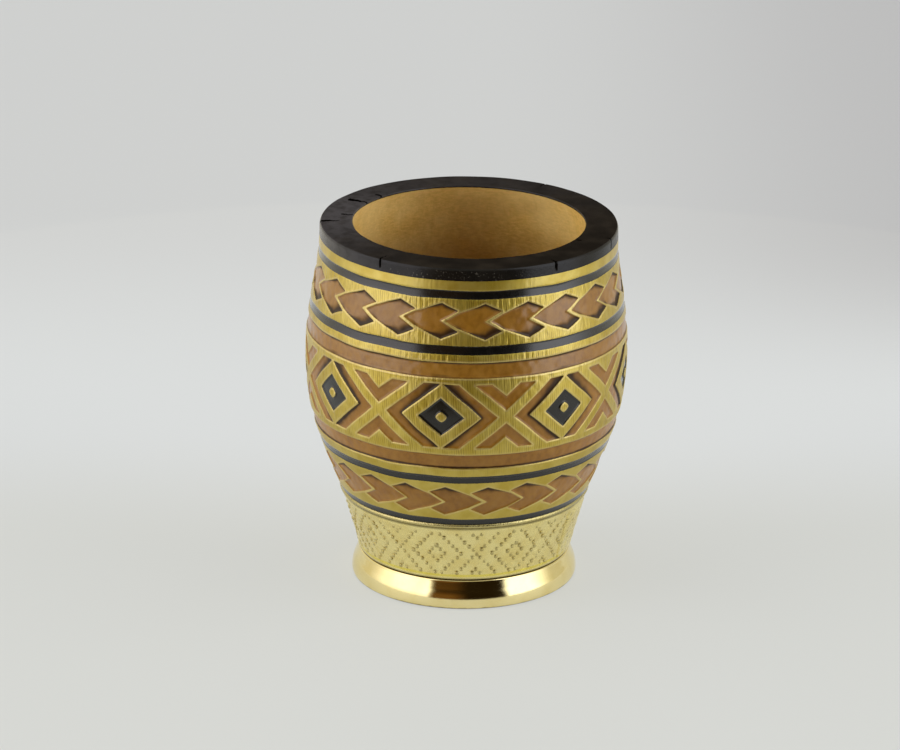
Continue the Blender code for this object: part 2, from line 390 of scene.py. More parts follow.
def diamond_outlines():
    """The outlines of one repeat of the wide band, round a diamond at angle 0."""
    rise, drop = FIELD_TOP - DIAMOND_Z, DIAMOND_Z - FIELD_LOW
    frame_side = [
        (FRAME_HALF - rise / DIAMOND_SLOPE, FIELD_TOP),
        (FRAME_HALF, DIAMOND_Z),
        (FRAME_HALF - drop / DIAMOND_SLOPE, FIELD_LOW),
        (PLATE_HALF - drop / DIAMOND_SLOPE, FIELD_LOW),
        (PLATE_HALF, DIAMOND_Z),
        (PLATE_HALF - rise / DIAMOND_SLOPE, FIELD_TOP),
    ]
    return frame_side, rhombus(SINK_HALF), rhombus(BUTTON_HALF)


def rhombus(half_width):
    half_height = half_width * DIAMOND_SLOPE
    top, low = DIAMOND_Z + half_height, DIAMOND_Z - half_height
    return [(half_width, DIAMOND_Z), (0, top), (-half_width, DIAMOND_Z), (0, low)]


def chevron(border, side):
    """A carved V whose open end lies on a border of the field."""
    tip = DIAMOND_Z + side * CHEVRON_TIP
    inner = tip + side * CHEVRON_WIDTH
    outer_half = abs(border - tip) / DIAMOND_SLOPE
    inner_half = abs(border - inner) / DIAMOND_SLOPE
    outer_edge = [(-outer_half, border), (0, tip), (outer_half, border)]
    return outer_edge + [(inner_half, border), (0, inner), (-inner_half, border)]


def diamond_fields(angle, z):
    """The wide band: black and bare areas, and how near the burnt edges are."""
    pitch = 360 / DIAMONDS
    arc = math.radians(DIAMOND_RADIUS)
    centres = DIAMOND_START + pitch * np.arange(DIAMONDS)
    drift = np.interp(angle, centres, DIAMOND_DRIFT, period=360)
    x, _ = repeat_place(angle + drift, DIAMOND_START - pitch / 2, DIAMONDS)
    x = (x - pitch / 2) * arc + 0.08 * ripple(angle, z, 9, 9, seed=6)
    z = z + 0.09 * ripple(angle, z, 12, 12, seed=5)
    side, sink, button = [unrolled(outline, arc) for outline in diamond_outlines()]
    frames = np.maximum(outline_distance(x, z, side), outline_distance(x, z, mirrored(side)))
    knob = 0.5 * outline_distance(x, z, button) + 0.5 * (1.15 - np.hypot(x, z - DIAMOND_Z))
    black = np.minimum(outline_distance(x, z, sink), -knob)
    between = np.abs(x) - pitch / 2 * arc
    upper, lower = [unrolled(chevron(border, way), arc) for border, way in ((FIELD_TOP, 1), (FIELD_LOW, -1))]
    chevrons = [outline_distance(between, z, outline) for outline in (upper, lower)]
    bare = np.maximum.reduce([frames, *chevrons])
    burnt = path_distance(np.abs(x), z, side[3:])
    above = np.clip((z - DIAMOND_Z) / (FIELD_TOP - DIAMOND_Z), 0, 1)
    below = np.clip((DIAMOND_Z - z) / (DIAMOND_Z - FIELD_LOW), 0, 1)
    reach = 0.55 + 1.5 * above**1.3 + 0.55 * below
    corner_out = np.minimum(
        np.hypot(between - upper[2][0], z - FIELD_TOP),
        np.hypot(between + upper[2][0], z - FIELD_TOP),
    )
    corner_low = np.hypot(np.abs(between) - lower[2][0], z - FIELD_LOW)
    corners = np.minimum(corner_out, corner_low + 0.5)
    return black, bare, np.minimum(burnt / reach, 0.55 + corners / 1.1)


def dart_fields(angle, z, start, outline, radius, burnt_paths, seed):
    """A chain of darts: the bare areas, and how near their burnt edges are."""
    arc = math.radians(radius)
    pitch = 360 / DARTS
    random = np.random.default_rng(seed)
    shifts = random.uniform(-1, 1, (DARTS, 2)) * (0.35, 0.16)
    place, number = repeat_place(angle, start, DARTS)
    z = z + 0.05 * ripple(angle, z, 7, 7, seed=seed + 1)
    bare = np.full(z.shape, -np.inf)
    burnt = np.full(z.shape, np.inf)
    for step in (-1, 0, 1):
        drift = shifts[(number - step) % DARTS]
        x = (place + step * pitch + drift[..., 0]) * arc
        level = z + drift[..., 1]
        bare = np.maximum(bare, outline_distance(x, level, unrolled(outline, arc)))
        for path, reach, centre, spread in burnt_paths:
            share = np.maximum(swell(x / arc - centre, spread), 0.02)
            burnt = np.minimum(burnt, path_distance(x, level, unrolled(path, arc)) / (reach * share))
    return bare, burnt


def skin_fields(angle, z, depth):
    """The carved skin: how deep each point lies, and the fields that its finish reads."""
    black, bare = ring_fields(angle, z)
    burnt = np.full(z.shape, FAR)
    carved = sunk_black = np.full(z.shape, -FAR)
    low, top = float(z.min()), float(z.max())
    if low < DIAMOND_Z < top:
        sunk_black, carved, burnt = diamond_fields(angle, z)
    elif low < UPPER_DART[0][1] < top:
        carved, burnt = dart_fields(angle, z, UPPER_START, UPPER_DART, UPPER_RADIUS, UPPER_BURNT, seed=31)
    elif low < LOWER_DART[2][1] < top:
        carved, burnt = dart_fields(angle, z, LOWER_START, LOWER_DART, LOWER_RADIUS, LOWER_BURNT, seed=41)
    burnt = np.minimum.reduce([burnt] + [np.abs(z - height) / half for height, half in RING_LINES])
    char = np.exp(-(burnt**1.4)) * np.clip(0.95 + 0.12 * ripple(angle, z, 3, 3, seed=51), 0, 1)
    bare = np.maximum(bare, carved)
    inside = np.maximum(bare, sunk_black)
    worked = ease(-inside, 0.0, 0.25) * ease(-black, 0.0, 0.15)
    worked = worked * (0.25 + 0.75 * ease(z, 37, 44)) * (1 - 0.65 * ease(z, 85.5, 86.5))
    floor = depth * (0.62 + 0.38 * np.exp(-burnt)) + 0.03 * ripple(angle, z, 3, 3, seed=52)
    deep = ease(bare, -0.12, 0.36) * floor
    deep = np.maximum(deep, ease(sunk_black, -0.08, 0.22) * depth * 0.7)
    deep = np.maximum(deep, ease(black, -0.10, 0.16) * RING_DEPTH)
    # The raised lip along the gilt's edges; the finish also paints a highlight on it.
    lip = swell(inside + 0.22, 0.16)
    dents = np.clip(ripple(angle, z, 1.5, 2.6, seed=23), 0, 1.5) + 0.6 * ripple(angle, z, 1.1, 9, seed=24)
    deep = np.maximum(deep + GILT_DEPTH - TOOL_DEPTH * lip + TOOL_DEPTH * worked * dents, 0)
    black = np.maximum(black, sunk_black)
    char = char * ease(inside, -0.25, 0.05)
    return deep, {"bare": bare, "black": black, "char": char, "worked": worked, "lip": lip}


def new_mesh(name, points, faces):
    mesh = bpy.data.meshes.new(name)
    mesh.from_pydata(points, [], faces)
    return mesh


def add_object(name, data):
    """A new object at the origin, in the scene."""
    thing = bpy.data.objects.new(name, data)
    bpy.context.scene.collection.objects.link(thing)
    return thing


def set_mesh(name, points, faces, fields, maps):
    """A mesh object from arrays: points in metres, faces of four, point fields and a map of the surface."""
    mesh = new_mesh(name, points.tolist(), faces.tolist())
    for title, values in fields.items():
        attribute = mesh.attributes.new(title, "FLOAT", "POINT")
        attribute.data.foreach_set("value", np.ascontiguousarray(values, np.float32).ravel())
    layer = mesh.uv_layers.new(name="surface")
    layer.data.foreach_set("uv", np.ascontiguousarray(maps, np.float32).ravel())
    mesh.validate()
    return add_object(name, mesh)


def make_rings(name, rows, fields=None, wrap=True, sharp=50.0):
    """A closed piece from an array of places, (rings, columns, 3). Its ends join, or are poles."""
    count, columns, _ = rows.shape
    ring, column = np.meshgrid(np.arange(count if wrap else count - 1), np.arange(columns), indexing="ij")
    after, beside = (ring + 1) % count, (column + 1) % columns
    corners = [(ring, column), (after, column), (after, beside), (ring, beside)]
    faces = np.stack([r * columns + c for r, c in corners], axis=-1).reshape(-1, 4)
    plan = [(column, ring), (column, ring + 1), (column + 1, ring + 1), (column + 1, ring)]
    maps = np.stack([np.stack([c / columns, r / count], axis=-1) for c, r in plan], axis=-2)
    piece = set_mesh(name, rows.reshape(-1, 3), faces, fields or {}, maps)
    finish_mesh(piece, sharp)
    return piece


def finish_mesh(piece, sharp):
    """Welds the poles and seams, turns the faces outwards and shades the piece smooth."""
    bm = bmesh.new()
    bm.from_mesh(piece.data)
    bmesh.ops.remove_doubles(bm, verts=bm.verts, dist=1e-7)
    bmesh.ops.recalc_face_normals(bm, faces=bm.faces)
    bm.to_mesh(piece.data)
    bm.free()
    piece.data.shade_smooth()
    piece.data.set_sharp_from_angle(angle=math.radians(sharp))


class Nodes:
    """Adds nodes to a tree, linking the sockets and setting the values that it is given."""

    def __init__(self, tree):
        self.tree = tree

    def add(self, kind, inputs=None, **settings):
        node = self.tree.nodes.new(kind)
        for title, value in settings.items():
            setattr(node, title, value)
        self.fill(node, inputs or {})
        return node

    def fill(self, node, inputs):
        for key, value in inputs.items():
            self.put(node.inputs[key], value)

    def put(self, socket, value):
        if isinstance(value, bpy.types.NodeSocket):
            self.tree.links.new(value, socket)
        else:
            socket.default_value = (*value[:3], 1) if socket.type == "RGBA" else value

    def math(self, operation, *values, clamp=False):
        inputs = dict(enumerate(values))
        return self.add("ShaderNodeMath", inputs, operation=operation, use_clamp=clamp).outputs[0]

    def times(self, first, second):
        return self.math("MULTIPLY", first, second)

    def plus(self, first, second):
        return self.math("ADD", first, second)

    def minus(self, first, second, clamp=False):
        return self.math("SUBTRACT", first, second, clamp=clamp)

    def ease(self, value, low, high, start=0.0, end=1.0):
        """A smooth step from start at low to end at high."""
        inputs = {"Value": value, "From Min": low, "From Max": high, "To Min": start, "To Max": end}
        return self.add("ShaderNodeMapRange", inputs, interpolation_type="SMOOTHSTEP").outputs[0]

    def field(self, title):
        return self.add("ShaderNodeAttribute", attribute_name=title).outputs["Fac"]

    def mix(self, share, first, second):
        """A colour between two, each a socket or its red, green and blue."""
        node = self.add("ShaderNodeMix", {"Factor": share}, data_type="RGBA")
        ends = [socket for socket in node.inputs if socket.type == "RGBA"]
        for socket, colour in zip(ends, (first, second)):
            self.put(socket, colour)
        return next(socket for socket in node.outputs if socket.type == "RGBA")

    def split(self, vector):
        return self.add("ShaderNodeSeparateXYZ", {"Vector": vector}).outputs

    def places(self):
        """The object's own x, y and z, in metres."""
        return self.split(self.add("ShaderNodeTexCoord").outputs["Object"])

    def turn(self, x, y):
        """The angle round the cup, in degrees from the front."""
        return self.math("DEGREES", self.math("ARCTAN2", x, self.times(y, -1.0)))

    def noise(self, scale, detail=2.0, stretch=(1, 1, 1), distortion=0.0):
        """Noise on the object's own coordinates, at a scale of swells in each metre."""
        place = self.add("ShaderNodeTexCoord").outputs["Object"]
        mapping = self.add("ShaderNodeMapping", {"Vector": place, "Scale": stretch})
        inputs = {"Vector": mapping.outputs[0], "Scale": scale, "Detail": detail, "Distortion": distortion}
        return self.add("ShaderNodeTexNoise", inputs).outputs["Fac"]

    def bump(self, height, distance, strength=1.0):
        inputs = {"Height": height, "Distance": distance, "Strength": strength}
        return self.add("ShaderNodeBump", inputs).outputs[0]


def new_finish(name):
    """An empty material with its nodes and its Principled shader."""
    material = bpy.data.materials.new(name)
    material.use_nodes = True
    nodes = Nodes(material.node_tree)
    shader = next(node for node in material.node_tree.nodes if node.type == "BSDF_PRINCIPLED")
    return material, nodes, shader


def tool_lines(nodes, count):
    """The height, from 0 to 1, of the tool's upright strokes in the gilt, uneven in place and strength."""
    turn = nodes.split(nodes.add("ShaderNodeUVMap", uv_map="surface").outputs[0])[0]
    stray = nodes.times(nodes.minus(nodes.noise(330, 2, stretch=(1, 1, 0.25)), 0.5), 1.2)
    slant = nodes.times(nodes.places()[2], TOOL_LEAN * count / (2 * math.pi * MEAN_RADIUS * MM))
    phase = nodes.plus(nodes.plus(nodes.times(turn, float(count)), stray), slant)
    number = nodes.math("FLOOR", phase)
    share = nodes.add("ShaderNodeTexWhiteNoise", {"W": number}, noise_dimensions="1D").outputs["Value"]
    wave = nodes.math("MULTIPLY_ADD", nodes.math("COSINE", nodes.times(phase, 2 * math.pi)), 0.5, 0.5)
    fade = nodes.ease(nodes.noise(900, 2, stretch=(1, 1, 0.3)), 0.32, 0.62, 0.4, 1.0)
    return nodes.times(wave, nodes.times(nodes.math("MULTIPLY_ADD", share, 0.5, 0.5), fade))


def carved_finish(look):
    """Gilt, bare and lacquered gourd in one finish, told apart by the carving's own fields, with painted shade
    in the gilt's tool lines and a painted highlight along its edges.
    """
    material, nodes, shader = new_finish("carved_gilt_gourd")
    ragged = nodes.times(nodes.minus(nodes.noise(2600, 2), 0.5), 0.16)
    bare = nodes.ease(nodes.plus(nodes.field("bare"), ragged), -0.06, 0.05)
    black = nodes.ease(nodes.plus(nodes.field("black"), ragged), -0.06, 0.05)
    char = nodes.ease(nodes.field("char"), 0.06, 0.74)
    patches = nodes.noise(220, 3)
    grain = nodes.noise(800, 4, stretch=(1, 1, 0.7))
    speckle = nodes.noise(5200, 2)
    strokes = nodes.times(tool_lines(nodes, TOOL_LINES), nodes.field("worked"))
    gilt = nodes.mix(nodes.ease(patches, 0.3, 0.7), look.gilt, look.gilt_deep)
    # Painted shade: the gilt is darkened down in the tool lines, where shade falls in the grooves.
    gilt = nodes.mix(nodes.ease(strokes, 0.12, 0.85, 0, 0.5), gilt, look.gilt_tool_line_shade)
    # Painted highlight: the gilt is brightened along the raised lip at the carving's edges, where the edges
    # catch the light.
    gilt = nodes.mix(nodes.times(nodes.field("lip"), 0.5), gilt, look.gilt_edge_highlight)
    wood = nodes.mix(nodes.ease(grain, 0.30, 0.62, 0.45, 1.0), look.wood_dark, look.wood)
    wood = nodes.mix(nodes.ease(patches, 0.35, 0.75, 0, 0.35), wood, look.wood_pale)
    wood = nodes.mix(nodes.ease(speckle, 0.62, 0.72, 0, 0.3), wood, look.wood_dark)
    burnt = nodes.mix(char, wood, look.burnt)
    lacquer = nodes.mix(nodes.ease(speckle, 0.6, 0.8), look.lacquer, look.lacquer_worn)
    covered = nodes.math("MAXIMUM", bare, black)
    gilded = nodes.minus(1.0, covered, clamp=True)
    satin = nodes.ease(grain, 0.2, 0.8, 0.30, 0.42)
    gloss = nodes.ease(speckle, 0.2, 0.8, 0.36, 0.50)
    rough = nodes.plus(nodes.times(covered, satin), nodes.times(gilded, gloss))
    relief = nodes.plus(nodes.times(grain, 0.25), nodes.times(speckle, 0.2))
    relief = nodes.minus(relief, nodes.times(strokes, 0.5))
    height = nodes.places()[2]
    varnish = nodes.times(nodes.ease(char, 0.0, 0.6, 0.38, 0.03), nodes.ease(height, 0.060, 0.066, 1.0, 2.0))
    nodes.fill(shader, {
        "Base Color": nodes.mix(black, nodes.mix(bare, gilt, burnt), lacquer),
        "Metallic": gilded,
        "Roughness": nodes.minus(rough, nodes.times(black, 0.12)),
        "Normal": nodes.bump(relief, look.stroke_depth),
        "Coat Weight": nodes.math("MULTIPLY_ADD", black, 0.14, varnish),
        "Coat Roughness": 0.16,
        "Specular IOR Level": 0.30,
        "Specular Tint": VARNISH_TINT,
    })
    return material


def lacquer_finish(look, name, glossy):
    """The rim's black lacquer: glossy and chipped down its side, or dull and brushed round on its top, with a
    painted sheen that lightens it towards the left.
    """
    material, nodes, shader = new_finish(name)
    patches = nodes.noise(160, 3)
    dust = nodes.noise(2300, 2)
    chips = nodes.times(nodes.ease(dust, 0.63, 0.70), nodes.ease(nodes.field("wear"), 0.3, 0.9))
    least, most = (0.0, 0.2) if glossy else (0.35, 0.9)
    colour = nodes.mix(nodes.ease(patches, 0.35, 0.75, least, most), look.lacquer, look.lacquer_brown)
    colour = nodes.mix(nodes.times(chips, 0.28), colour, look.dust)
    # Painted sheen: the rim is lighter towards the left, where the left light falls, and a little at the back.
    painted_sheen = nodes.times(nodes.ease(nodes.noise(420, 3), 0.25, 0.65, 0.5, 1.0), nodes.field("painted_sheen"))
    colour = nodes.mix(painted_sheen, colour, look.lacquer_sheen)
    dullest, shiniest = (0.26, 0.17) if glossy else (0.72, 0.55)
    nodes.fill(shader, {
        # Painted shade darkens the rim down in its splits.
        "Base Color": nodes.mix(nodes.ease(nodes.field("split"), 0.02, 0.14), colour, SPLIT_SHADE),
        "Roughness": nodes.ease(patches, 0.2, 0.8, shiniest, dullest),
        "Normal": nodes.bump(nodes.noise(2400, 3), 0.00005, 0.6),
        "Specular IOR Level": 0.25 if glossy else 0.0,
    })
    return material


def cavity_finish(look):
    """The scraped inside of the gourd, matt, with fibres that run round and up, and painted shade that darkens
    it towards the bottom.
    """
    material, nodes, shader = new_finish("scraped_gourd_inside")
    fibres = nodes.noise(700, 5, stretch=(1, 1, 2.6), distortion=0.4)
    upright_fibres = nodes.noise(1100, 3, stretch=(1, 1, 0.2))
    patches = nodes.noise(70, 3)
    colour = nodes.mix(nodes.ease(fibres, 0.3, 0.7), look.inside_dark, look.inside)
    colour = nodes.mix(nodes.ease(patches, 0.35, 0.7, 0, 0.5), colour, look.inside_pale)
    colour = nodes.mix(nodes.ease(upright_fibres, 0.58, 0.72, 0, 0.35), colour, look.inside_dark)
    nodes.fill(shader, {
        # Painted shade: the inside darkens towards the bottom, where less light reaches.
        "Base Color": nodes.mix(nodes.ease(nodes.places()[2], 0.086, 0.050), colour, look.inside_low_shade),
        "Roughness": 0.72,
        "Normal": nodes.bump(nodes.plus(fibres, nodes.times(upright_fibres, 0.6)), 0.00012, 0.7),
        "Specular IOR Level": 0.35,
    })
    return material


def stamped_finish(look, name, dull_and_shade):
    """The collar's thin stamped sheet: soft gloss, a little uneven, darkened with painted shade in its groove,
    dimples and rolled bead and on its punched beads, which are also rougher.
    """
    material, nodes, shader = new_finish(name)
    patches = nodes.noise(260, 3)
    fine = nodes.noise(2400, 3)
    colour = nodes.mix(nodes.ease(patches, 0.35, 0.7), look.sheet, look.sheet_deep)
    colour = nodes.mix(nodes.ease(nodes.field("seam"), 0.3, 1.0, 0, 0.7), colour, look.seam)
    duller = 0.3 * dull_and_shade
    nodes.fill(shader, {
        # Painted shade from the fold field, and on the beads.
        "Base Color": nodes.mix(nodes.ease(nodes.field("fold_shade"), 0.0, 1.0, dull_and_shade, 0.8), colour, look.painted_metal_shade),
        "Metallic": 1.0,
        "Roughness": nodes.ease(fine, 0.25, 0.75, 0.24 + duller, 0.36 + duller),
        "Normal": nodes.bump(nodes.plus(fine, patches), 0.00012, 0.7),
    })
    return material


def polished_finish(look):
    """The bright foot, with a faint haze and hairline scratches, and darkened along its bottom edge with a
    painted reflection of the shade where it meets the table.
    """
    material, nodes, shader = new_finish("polished_gold_foot")
    haze = nodes.noise(180, 3)
    hairlines = nodes.noise(4200, 2, stretch=(1, 1, 6))
    colour = nodes.mix(nodes.ease(haze, 0.3, 0.8), look.metal, look.metal_deep)
    # Painted shade: a dark, uneven line along the bottom edge, where the foot would mirror the shade at its
    # contact with the table.
    uneven = nodes.math("MULTIPLY_ADD", nodes.noise(500, 3), 0.0006, nodes.places()[2])
    nodes.fill(shader, {
        "Base Color": nodes.mix(nodes.ease(uneven, 0.0009, 0.0005, 0, 0.8), colour, look.painted_metal_shade),
        "Metallic": 1.0,
        "Roughness": nodes.ease(haze, 0.25, 0.75, 0.06, 0.11),
        "Normal": nodes.bump(hairlines, 0.000006, 0.4),
    })
    return material


def attach(piece, finishes, node):
    """Gives a piece its body and its finishes where it was made without them, and hides the imported solid
    that it stands for.
    """
    if not piece.data.materials:
        for finish in finishes:
            piece.data.materials.append(finish)
    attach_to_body(piece, "root")
    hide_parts(node)


def ring_turns(columns):
    return np.arange(columns) * 360 / columns


def turned(profile, columns):
    """The angle, radius and height of every point of a (radius, height) profile that is turned round."""
    profile = np.asarray(profile)
    angle, radius = np.meshgrid(ring_turns(columns), profile[:, 0])
    return angle, radius, np.broadcast_to(profile[:, 1:2], angle.shape)


def padded_fields(fields, rows):
    """Fields with more rows for the hidden side, which hold each field's lowest value."""
    more = ((0, rows), (0, 0))
    return {title: np.pad(values, more, constant_values=values.min()) for title, values in fields.items()}


def make_band(name, low, top, spacing, depth):
    """One closed ring of carved skin."""
    heights = np.linspace(low, top, round((top - low) / spacing) + 1)
    angle, z = np.meshgrid(ring_turns(COLUMNS), heights)
    deep, fields = skin_fields(angle, z + PATTERN_DROP, depth)
    back_angle, back_z = np.meshgrid(ring_turns(COLUMNS), np.array([top, low]))
    rows = np.concatenate([
        lean(angle, skin_radius(z) - deep, z),
        lean(back_angle, skin_radius(back_z) - SKIN_WALL, back_z),
    ])
    return make_rings(name, rows, padded_fields(fields, len(back_z)), sharp=75)


def arc_points(centre, radius, start, end, steps):
    """Points of an arc about (radius, height), with its angles from straight out."""
    turns = np.radians(np.linspace(start, end, steps + 1))
    return [(centre[0] + radius * math.cos(turn), centre[1] + radius * math.sin(turn)) for turn in turns]


def fill_profile(points, spacing):
    """A profile of (radius, height) with points added so that none lie further apart than the spacing."""
    filled = [points[0]]
    for before, after in zip(points, points[1:]):
        steps = max(1, math.ceil(math.dist(before, after) / spacing))
        way = np.array(after) - before
        filled += [tuple(np.array(before) + way * step / steps) for step in range(1, steps + 1)]
    return np.array(filled)


def profile_normals(profile):
    """The directions that face right of a profile's way: outwards for one that runs up the outside."""
    way = np.gradient(profile, axis=0)
    way /= np.maximum(np.linalg.norm(way, axis=1), 1e-9)[:, None]
    return np.stack([way[:, 1], -way[:, 0]], axis=1)


def split_depths(angle, radius, z, depth):
    """How deep the rim's splits cut, each a wedge that runs outwards across the top and over the edge."""
    total = np.zeros(angle.shape)
    for number, (where, outer, inner, half, share) in enumerate(RIM_SPLITS):
        wander = 0.12 * np.sin(radius * 2.6 + number) + 0.07 * np.sin(radius * 6.1 + 2 * number)
        off = turn_from(angle, where) * math.radians(1) * radius + wander
        along = ease(radius, inner - 0.2, inner + 0.8) * ease(outer - radius, -0.4, 0.3)
        mouth = half * (0.35 + 0.65 * ease(radius, inner, outer))
        wedge = np.clip(1 - np.abs(off) / mouth, 0, 1)
        total = np.maximum(total, wedge * along * share * ease(z, *SPLIT_REACH))
    return total * depth


def make_rim(look):
    """The rim: its side, its rounded edges and its flat top, brushed round and split here and there."""
    edge, inner_edge = RIM_ROUND
    side = [(skin_radius(z), z) for z in np.linspace(RIM_LOW, HEIGHT - edge, 9)]
    profile = side + arc_points((side[-1][0] - edge, HEIGHT - edge), edge, 0, 90, 8)[1:]
    profile += arc_points((MOUTH + inner_edge, HEIGHT - inner_edge), inner_edge, 90, 180, 6)
    filled = fill_profile(profile, RIM_SPACING)
    normals = profile_normals(filled)
    hidden = [(MOUTH + 0.1, MOUTH_LOW), (MOUTH + 1.9, RIM_LOW)]
    angle, radius, z = turned(filled, COLUMNS)
    brushed = 0.018 * ripple(radius * 40 + 4 * ripple(angle, z, 60, 60, 63), z, 12, 30, seed=61)
    deep = 0.05 + brushed + 0.05 * ripple(angle, z + radius, 14, 9, seed=62)
    cut = split_depths(angle, radius, z, look.split_depth / MM)
    chips = np.clip(ripple(angle, z + radius, 1.3, 1.0, seed=64) - 1.9, 0, 1)
    chips = chips * ease(np.abs(z - CHIP_HEIGHT), 1.6, 0.4)
    deep = np.maximum(deep, 0) + cut + CHIP_DEPTH * chips
    front = swell(turn_from(angle, -5), 38)
    wear = np.clip(front * ease(z, 91.6, 90.6) + 0.4 * ease(np.abs(radius - MOUTH), 1.0, 0.2), 0, 1)
    outer = lean(angle, radius - deep * normals[:, :1], z - deep * normals[:, 1:])
    rows = np.concatenate([outer, lean(*turned(hidden, COLUMNS))])
    # Painted sheen, strongest at the left and stronger down the side, with a little at the back of the top.
    painted_sheen = swell(turn_from(angle, -95), 42) * np.where(z > 91, 1.0, 1.4)
    painted_sheen = painted_sheen + 0.3 * swell(turn_from(angle, 180), 60) * (z > 91)
    split = cut / look.split_depth * MM
    fields = padded_fields({"wear": wear, "split": split, "painted_sheen": painted_sheen}, len(hidden))
    piece = make_rings("gourd_rim", rows, fields, sharp=75)
    upward = np.flatnonzero(normals[:, 1] > 0.7)
    ring = np.arange(len(piece.data.polygons)) // COLUMNS
    on_top = ((ring >= upward[0]) & (ring < upward[-1])).astype(np.int32)
    piece.data.polygons.foreach_set("material_index", on_top)
    return piece


def make_cavity():
    """The gourd's inside, with the hidden wall and heel that close it behind the skin and the metal."""
    turns = np.linspace(0, 90, 40)
    bowl = [(CAVITY_RADIUS * math.sin(math.radians(turn)), turn) for turn in turns]
    depth = CAVITY_WAIST - CAVITY_FLOOR
    inside = [(radius, CAVITY_WAIST - depth * math.cos(math.radians(turn))) for radius, turn in bowl]
    inside += [(cavity_radius(z), z) for z in np.linspace(CAVITY_WAIST, MOUTH_LOW, 34)[1:]]
    shell = [(skin_radius(z) - SKIN_WALL - 0.05, z) for z in np.linspace(RIM_LOW - 0.1, SKIN_LOW, 30)]
    heel = [(r - SHEET - 0.3, z) for z, r in SKIRT]
    heel[-1] = (heel[-1][0] - 0.4, heel[-1][1])
    profile = inside + [(MOUTH + 1.8, RIM_LOW - 0.1)] + shell + heel + [(21.0, 3.4), (0.0, 3.2)]
    angle, radius, z = turned(profile, 480)
    scraped = ease(z, 14, 24) * ease(MOUTH_LOW - z, 0.0, 3.0)
    scraped = scraped * (np.arange(len(profile)) < len(inside))[:, None]
    uneven = scraped * (0.10 * ripple(angle, z, 16, 9, seed=71) + 0.045 * ripple(angle, z, 4, 1.6, seed=72))
    rows = lean(angle, radius + uneven, z)
    return make_rings("gourd_inside", rows, wrap=False, sharp=60)


def collar_profile():
    """The collar's outside, from the foot up over the rolled bead, then its inside down again."""
    skirt = [(smooth_curve(SKIRT, z), z) for z in np.linspace(SKIRT[-1][0], SKIRT[0][0], 60)]
    middle = (BEAD_LOW + COLLAR_TOP) / 2
    half = (COLLAR_TOP - BEAD_LOW) / 2
    bead = [(GROOVE[1], GROOVE[0])] + arc_points((BEAD_RADIUS - half, middle), half, -80, 90, 14)
    return skirt + bead, [*INNER_TOP] + [(radius - SHEET, z) for z, radius in SKIRT]


def punched_dimples(angle, z, places):
    """How strongly each point of the collar is pressed in by the punch round the beads, from 0 to 1."""
    total = np.zeros(angle.shape)
    random = np.random.default_rng(92)
    turns = np.degrees(np.arctan2(places[:, 0], -places[:, 1]))
    arc = math.radians(PUNCH_RADIUS)
    reach, width, _ = DIMPLE
    for turn, height in zip(turns, places[:, 2] / MM):
        columns = np.flatnonzero(np.abs(turn_from(angle[0], turn)) * arc < reach)
        rows = np.flatnonzero(np.abs(z[:, 0] - height) < reach)
        window = np.ix_(rows, columns)
        x = turn_from(angle[window], turn) * arc
        off = np.hypot(x * 0.8, (z[window] - height - 0.5) * 1.5)
        total[window] = np.maximum(total[window], random.uniform(0.45, 1.0) * swell(off, width))
    return total


def make_collar(look):
    """The collar of stamped sheet, with its rolled bead, its lapped seam and its hand-worked unevenness."""
    outside, inside = collar_profile()
    angle, radius, z = turned(outside + inside, 960)
    skirt = ease(z, SKIRT[-1][0], SKIRT[-1][0] + 1.5) * ease(SKIRT[0][0] - z, 0, 1.5)
    skirt = skirt * (np.arange(len(z)) < len(outside))[:, None]
    past = np.mod(angle - LAP_ANGLE, 360)
    lap = LAP_STEP * ease(LAP_FADE - past, 0, LAP_FADE) * ease(past, 0.0, 0.35)
    dents = 0.10 + 0.06 * ripple(angle, z, 7, 6, seed=81) + 0.035 * ripple(angle, z, 2.2, 2.0, seed=82)
    deep = np.clip(skirt * dents, 0, None) + 0.03 * (1 + ripple(angle, z, 12, 20, seed=83))
    dimples = punched_dimples(angle, z, bead_places()[0]) * skirt
    rows = upright(angle, radius - deep - DIMPLE[2] * dimples + look.lap_share * lap * skirt, z)
    # Painted shade: darker in the groove, at the joint with the foot, in the dimples and over the rolled bead.
    fold_shades = swell(z - GROOVE[0], 0.35) + swell(z - SKIRT[-1][0], 0.3)
    fold_shades = fold_shades + 0.85 * dimples + 0.55 * (z > GROOVE[0])
    return make_rings("stamped_collar", rows, {"fold_shade": fold_shades, "seam": swell(z - SEAM_HEIGHT, 0.5)}, sharp=65)


def bead_places():
    """The punched beads of the collar, in rows along nested diamonds: their places, ways and sizes."""
    random = np.random.default_rng(91)
    places, ways, sizes = [], [], []
    pitch = 360 / PUNCH_REPEATS
    for repeat in range(PUNCH_REPEATS):
        for half in PUNCH_HALVES:
            for aside in np.arange(-pitch / 2, pitch / 2, PUNCH_STEP):
                rise = (half - abs(aside)) * PUNCH_SLOPE
                if rise < 0 or rise > PUNCH_REACH:
                    continue
                for side in (1, -1) if rise else (1,):
                    jitter = random.normal(0, 1, 2) * (0.16, 0.06)
                    angle = PUNCH_START + repeat * pitch + aside + jitter[0]
                    z = PUNCH_MIDDLE + side * rise + jitter[1]
                    places.append(upright(angle, smooth_curve(SKIRT, z) - BEAD_SINK, z))
                    ways.append(upright(angle, 1.0, -0.25) / MM)
                    big = aside == 0 and half == PUNCH_HALVES[-1] and side == 1
                    sizes.append(BIG_BEAD if big else 1.0)
    return np.array(places), np.array(ways), np.array(sizes)


